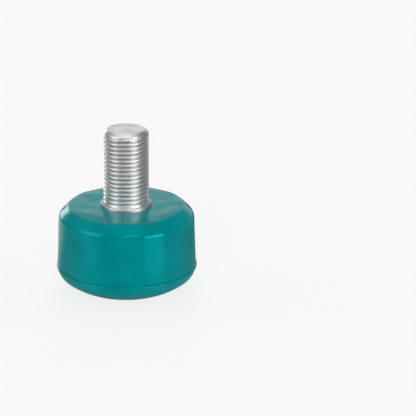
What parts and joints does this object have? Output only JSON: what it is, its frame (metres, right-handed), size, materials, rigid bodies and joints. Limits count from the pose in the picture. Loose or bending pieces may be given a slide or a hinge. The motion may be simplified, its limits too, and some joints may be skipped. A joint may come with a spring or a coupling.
{
  "type": "roller skate toe stop",
  "caption": "Round soft puck with a crowned striking face, moulded on a threaded steel stem that screws into a skate's plate to brake with the toe.",
  "frame": {"origin": "centre of the striking face, on the stem's axis", "axes": "+Z along the stem, from the striking face towards the stem's tip; X and Y lie in the striking face"},
  "size_m": [0.0494, 0.0494, 0.0585],
  "materials": {
    "puck_polyurethane": "semi-gloss moulded polyurethane, teal",
    "plated_steel": "bright zinc plating on a rolled thread",
    "bare_steel": "bare rolled steel, bonded in the puck"
  },
  "bodies": {
    "root": {"puck": "puck_polyurethane", "threaded_stem": "plated_steel", "stem_collar": "plated_steel", "anchor_plate": "bare_steel"}
  },
  "joints": []
}
